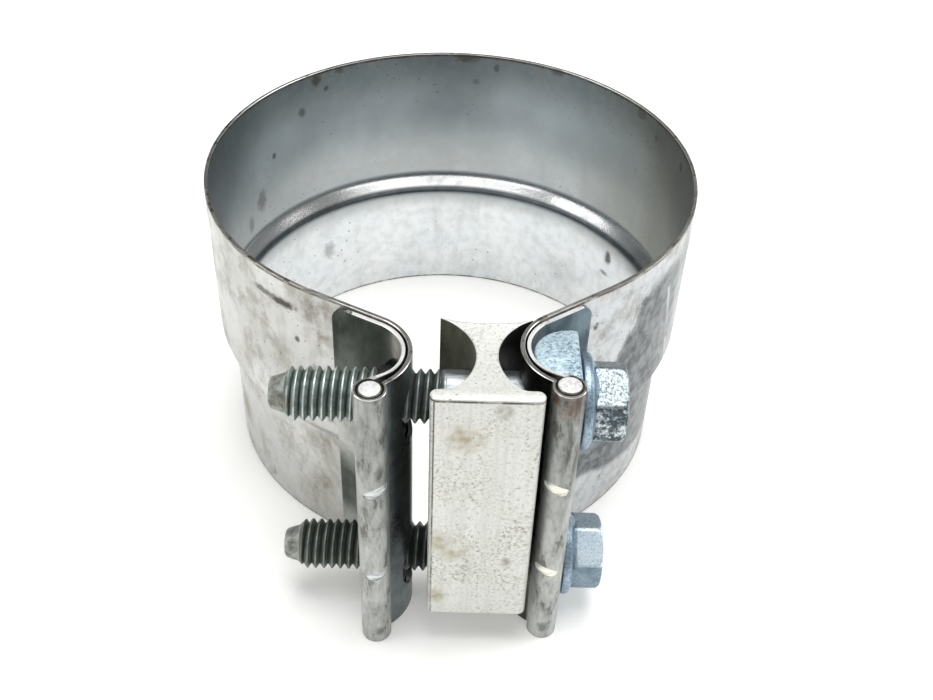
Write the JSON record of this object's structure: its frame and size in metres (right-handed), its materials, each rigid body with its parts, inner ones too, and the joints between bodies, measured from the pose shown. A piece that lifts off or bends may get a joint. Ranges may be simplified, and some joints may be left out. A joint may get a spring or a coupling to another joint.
{
  "type": "pipe repair clamp",
  "caption": "Lap-joint pipe repair clamp: stepped sheet band with rolled end loops, drawn shut by flanged bolts across a reaction block.",
  "frame": {"origin": "on the pipe axis, in the plane of the band's bottom edge (the smaller ring's end)", "axes": "+Z along the pipe axis towards the larger ring, -Y towards the bolts and block, +X towards the bolt heads"},
  "size_m": [0.099, 0.1198, 0.0639],
  "materials": {
    "band_steel": "dull aluminised sheet, stained",
    "pin_steel": "bright cut ends",
    "block_alloy": "rough, speckled and stained",
    "bar_zinc": "rough pale blue zinc",
    "bolt_zinc": "pale blue zinc, speckled",
    "nut_steel": "dark steel"
  },
  "bodies": {
    "right_half": {"band_right": "band_steel", "retaining_pin_right": "pin_steel"},
    "left_half": {"band_left": "band_steel", "retaining_pin_left": "pin_steel"},
    "spacer": {"spacer_bar": "bar_zinc", "reaction_block": "block_alloy"},
    "bolt_upper": {"bolt_upper": "bolt_zinc"},
    "bolt_lower": {"bolt_lower": "bolt_zinc"},
    "nuts": {"nut_upper": "nut_steel", "nut_lower": "nut_steel"}
  },
  "joints": [
    {"name": "clamp_close", "type": "hinge", "parent": "right_half", "child": "left_half", "pos_m": [0, 0.04635, 0], "axis": [0, 0, 1], "range_deg": [-3.4, 3.4]},
    {"name": "spacer_pivot", "type": "hinge", "parent": "right_half", "child": "spacer", "pos_m": [0.0188, -0.0574, 0], "axis": [0, 0, 1], "range_deg": [-1.72, 1.72]},
    {"name": "bolt_upper_turn", "type": "hinge", "parent": "spacer", "child": "bolt_upper", "pos_m": [0, -0.05695, 0.05205], "axis": [-0.9983, 0.0576, 0], "range_deg": [-1400, 1400]},
    {"name": "bolt_lower_turn", "type": "hinge", "parent": "spacer", "child": "bolt_lower", "pos_m": [0, -0.05695, 0.01235], "axis": [-0.9983, 0.0576, 0], "range_deg": [-1400, 1400]},
    {"name": "nut_slide", "type": "slide", "parent": "spacer", "child": "nuts", "axis": [0.9983, -0.0576, 0], "range_m": [-0.0062, 0.0062]}
  ],
  "couplings": [
    {"joint": "spacer_pivot", "follows": "clamp_close", "ratio": 0.5},
    {"joint": "bolt_upper_turn", "follows": "clamp_close", "ratio": 410.6},
    {"joint": "bolt_lower_turn", "follows": "clamp_close", "ratio": 410.6},
    {"joint": "nut_slide", "follows": "clamp_close", "m_per_rad": 0.10374}
  ]
}
